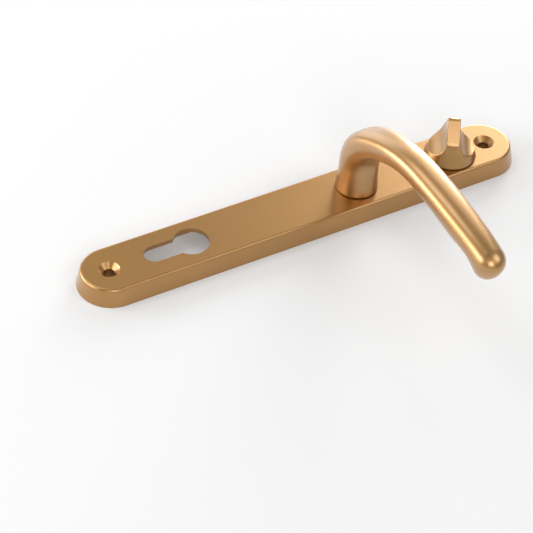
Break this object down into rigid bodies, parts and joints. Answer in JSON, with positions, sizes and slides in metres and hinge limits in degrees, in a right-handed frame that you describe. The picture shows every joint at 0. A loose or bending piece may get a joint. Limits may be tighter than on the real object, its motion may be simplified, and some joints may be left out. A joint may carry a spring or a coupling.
{
  "type": "lever door handle with snib",
  "caption": "Long backplate lever door handle in satin anodised bronze, with a euro cylinder hole, countersunk fixings and a thumb-turn snib.",
  "frame": {"origin": "on the lever's axis, in the plane of the backplate's back edge that stands on the door", "axes": "+Z away from the door, +X along the backplate from the cylinder hole to the snib, and the lever's grip points to -Y"},
  "size_m": [0.242, 0.1348, 0.0657],
  "materials": {
    "anodised_plate": "satin anodised gold bronze",
    "anodised_lever": "satin anodised gold bronze",
    "anodised_snib": "satin anodised gold bronze",
    "nylon": "moulded black nylon",
    "zinc_steel": "zinc-plated sheet steel",
    "bright_steel": "ground steel pins",
    "spring_steel": "oiled spring steel"
  },
  "bodies": {
    "plate": {"backplate": "anodised_plate", "lever_bush": "nylon", "lever_thrust_washer": "zinc_steel", "lever_return_spring": "spring_steel", "lever_stop_pins": "bright_steel", "spring_anchor_pin": "bright_steel", "cassette_cover": "zinc_steel", "cassette_screws": "zinc_steel", "snib_bush": "nylon", "snib_disc_spring": "spring_steel", "snib_stop_pins": "bright_steel"},
    "lever": {"lever": "anodised_lever", "lever_drive_cam": "zinc_steel", "lever_circlip": "spring_steel"},
    "snib": {"snib_turn": "anodised_snib", "snib_stop_washer": "zinc_steel", "snib_circlip": "spring_steel"}
  },
  "joints": [
    {"name": "lever_swing", "type": "hinge", "parent": "plate", "child": "lever", "pos_m": [0, 0, 0], "axis": [0, 0, 1], "range_deg": [-40, 40], "stiffness_Nm_per_rad": 1.2, "deforming": ["lever_return_spring"]},
    {"name": "snib_rotation", "type": "hinge", "parent": "plate", "child": "snib", "pos_m": [0.055, 0, 0], "axis": [0, 0, 1], "range_deg": [-59.5, 30.5]}
  ]
}
